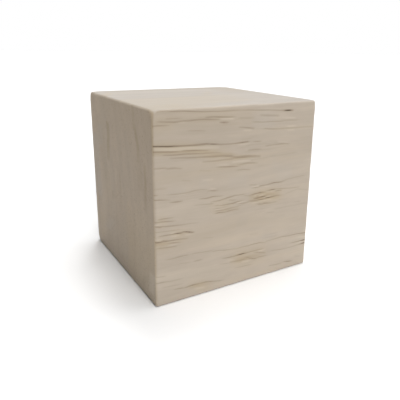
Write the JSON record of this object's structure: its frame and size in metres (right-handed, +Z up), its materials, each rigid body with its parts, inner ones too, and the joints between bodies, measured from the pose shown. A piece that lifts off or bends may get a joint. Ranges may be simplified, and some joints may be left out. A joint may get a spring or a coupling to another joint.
{
  "type": "balsa wood cube",
  "caption": "Small cube of plain balsa wood with lightly sanded edges, a blank for craft, carving and model making.",
  "frame": {"origin": "middle of the underside, on the surface that the cube stands on", "axes": "+X along the grain, with end grain on both X faces; -Y is the flat-sawn front with the long open pores; +Z up"},
  "size_m": [0.0508, 0.0498, 0.0513],
  "materials": {
    "balsa": "raw, finely sanded, matt"
  },
  "bodies": {
    "root": {"balsa_cube": "balsa"}
  },
  "joints": []
}
